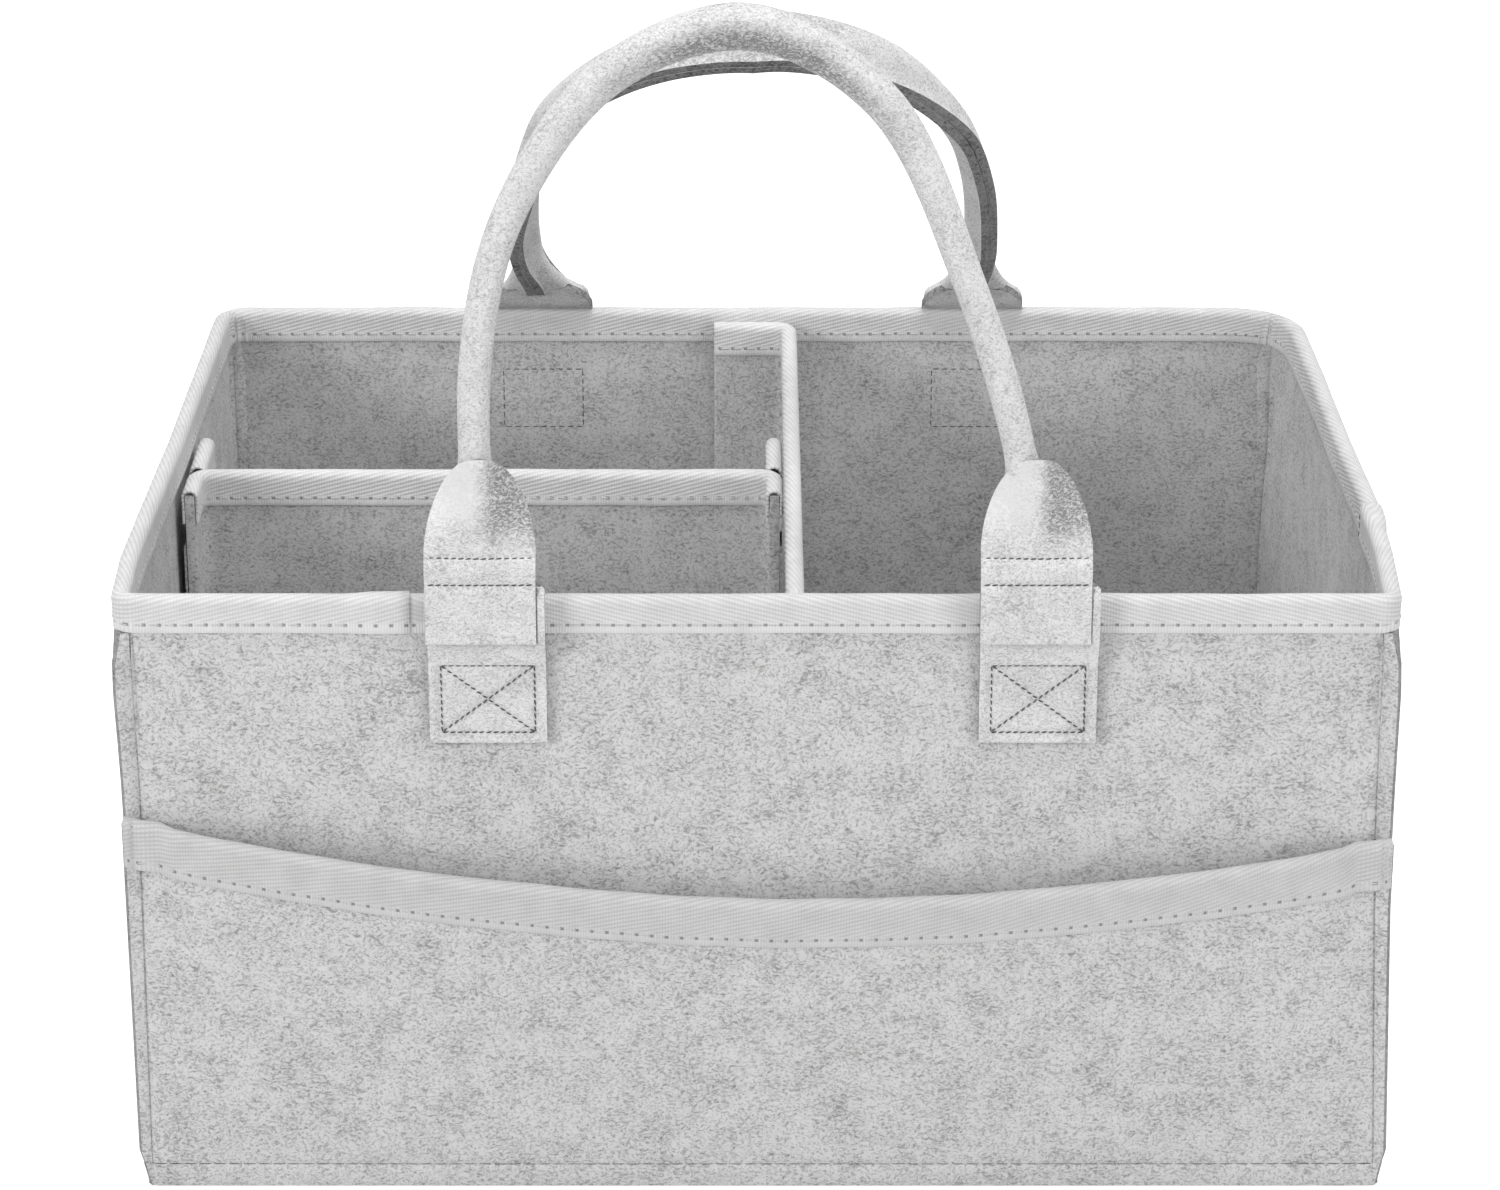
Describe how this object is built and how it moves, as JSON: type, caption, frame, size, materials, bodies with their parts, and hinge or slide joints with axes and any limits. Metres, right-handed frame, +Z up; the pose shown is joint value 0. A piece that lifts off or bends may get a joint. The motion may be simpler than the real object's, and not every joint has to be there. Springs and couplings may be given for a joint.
{
  "type": "felt diaper caddy",
  "caption": "Open rectangular caddy of thick grey felt with a taped rim, rolled carry handles, full-width outer pockets and lift-out dividers for nursery supplies.",
  "frame": {"origin": "on the floor under the middle of the box", "axes": "+X to the right along the long side, +Y from the front to the back, +Z up"},
  "size_m": [0.384, 0.3014, 0.3658],
  "materials": {
    "felt": "mottled grey needle felt",
    "pale_felt": "pale grey needle felt",
    "tape": "pale grey twill tape",
    "hook_strip": "woven hook tape",
    "core": "soft cotton cord"
  },
  "bodies": {
    "caddy": {"front_panel": "felt", "back_panel": "felt", "left_side_panel": "felt", "right_side_panel": "felt", "base_panel": "felt", "front_pocket": "felt", "back_pocket": "felt", "front_pocket_binding": "tape", "back_pocket_binding": "tape", "rim_binding": "tape", "front_left_strap": "pale_felt", "front_right_strap": "pale_felt", "rear_left_strap": "pale_felt", "rear_right_strap": "pale_felt", "front_left_tab_foot": "pale_felt", "front_right_tab_foot": "pale_felt", "rear_left_tab_foot": "pale_felt", "rear_right_tab_foot": "pale_felt"},
    "front_handle": {"front_handle_grip": "pale_felt", "front_handle_core": "core", "front_handle_left_tab": "pale_felt", "front_handle_right_tab": "pale_felt"},
    "rear_handle": {"rear_handle_grip": "pale_felt", "rear_handle_core": "core", "rear_handle_left_tab": "pale_felt", "rear_handle_right_tab": "pale_felt"},
    "main_divider_unit": {"main_divider": "felt", "main_divider_binding": "tape", "main_divider_front_hook_strip": "hook_strip", "main_divider_rear_hook_strip": "hook_strip"},
    "cross_divider_unit": {"cross_divider": "felt", "cross_divider_binding": "tape", "cross_divider_left_flap": "felt", "cross_divider_right_flap": "felt", "cross_divider_left_flap_binding": "tape", "cross_divider_right_flap_binding": "tape", "cross_divider_left_hook_strip": "hook_strip", "cross_divider_right_hook_strip": "hook_strip"}
  },
  "joints": [
    {"name": "front_handle_swing", "type": "hinge", "parent": "caddy", "child": "front_handle", "pos_m": [0, -0.1467, 0.1965], "axis": [1, 0, 0], "range_deg": [-32, 178]},
    {"name": "rear_handle_swing", "type": "hinge", "parent": "caddy", "child": "rear_handle", "pos_m": [0, 0.1467, 0.1965], "axis": [-1, 0, 0], "range_deg": [-10, 178]},
    {"name": "main_divider_lift", "type": "slide", "parent": "caddy", "child": "main_divider_unit", "axis": [0, 0, 1], "range_m": [0, 0.085]},
    {"name": "cross_divider_lift", "type": "slide", "parent": "caddy", "child": "cross_divider_unit", "axis": [0, 0, 1], "range_m": [0, 0.085]}
  ]
}
